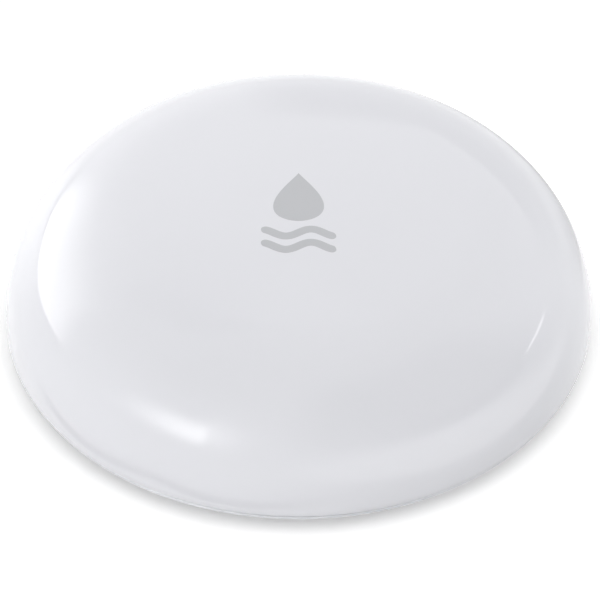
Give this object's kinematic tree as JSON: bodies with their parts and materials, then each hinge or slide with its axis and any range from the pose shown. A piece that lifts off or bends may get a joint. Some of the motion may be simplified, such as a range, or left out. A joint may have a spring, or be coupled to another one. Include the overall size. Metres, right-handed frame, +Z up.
{
  "type": "water leak sensor",
  "caption": "Round pebble-shaped water leak sensor with a domed cover that presses as a button, metal probes underneath and a twist-off battery door.",
  "frame": {"origin": "on the floor, at the middle of the sensor, level with the bottom of its feet", "axes": "+Z up along the sensor's axis, -Y towards the viewer, with the printed mark's top towards +Y"},
  "size_m": [0.05, 0.05, 0.015],
  "materials": {
    "cover_white": "gloss",
    "base_white": "satin",
    "door_white": "satin",
    "seal_rubber": "matt",
    "cell_steel": "satin",
    "grommet_plastic": "satin",
    "contact_metal": "satin",
    "board_green": "satin",
    "chip_black": "matt",
    "plated_steel": "satin",
    "lamp_clear": "gloss",
    "capacitor_tan": "satin",
    "copper": "satin",
    "probe_steel": "polished",
    "brass": "satin"
  },
  "bodies": {
    "base": {"base_shell": "base_white", "cover_o_ring": "seal_rubber", "coin_cell_can": "cell_steel", "coin_cell_lid": "cell_steel", "coin_cell_grommet": "grommet_plastic", "negative_contact": "contact_metal", "positive_contact": "contact_metal", "circuit_board": "board_green", "switch_housing": "chip_black", "switch_cover_plate": "plated_steel", "switch_snap_dome": "contact_metal", "switch_terminals": "plated_steel", "radio_chip": "chip_black", "memory_chip": "chip_black", "crystal": "plated_steel", "status_led": "lamp_clear", "capacitors": "capacitor_tan", "resistors": "chip_black", "antenna_trace": "copper", "probe_screws": "probe_steel", "probe_seals": "seal_rubber", "probe_standoffs": "brass", "board_screws": "plated_steel"},
    "cover": {"top_cover": "cover_white"},
    "plunger": {"switch_plunger": "chip_black"},
    "door": {"battery_door": "door_white", "door_o_ring": "seal_rubber"}
  },
  "joints": [
    {"name": "cover_press", "type": "slide", "parent": "base", "child": "cover", "axis": [0, 0, -1], "range_m": [0, 0.0003], "stiffness_N_per_m": 1500, "springref_m": -0.0006, "deforming": ["switch_snap_dome"]},
    {"name": "plunger_press", "type": "slide", "parent": "base", "child": "plunger", "axis": [0, 0, -1], "range_m": [0, 0.0003]},
    {"name": "door_twist", "type": "hinge", "parent": "base", "child": "door", "pos_m": [0, 0, 0], "axis": [0, 0, -1], "range_deg": [0, 42]}
  ],
  "couplings": [
    {"joint": "plunger_press", "follows": "cover_press", "ratio": 1}
  ]
}
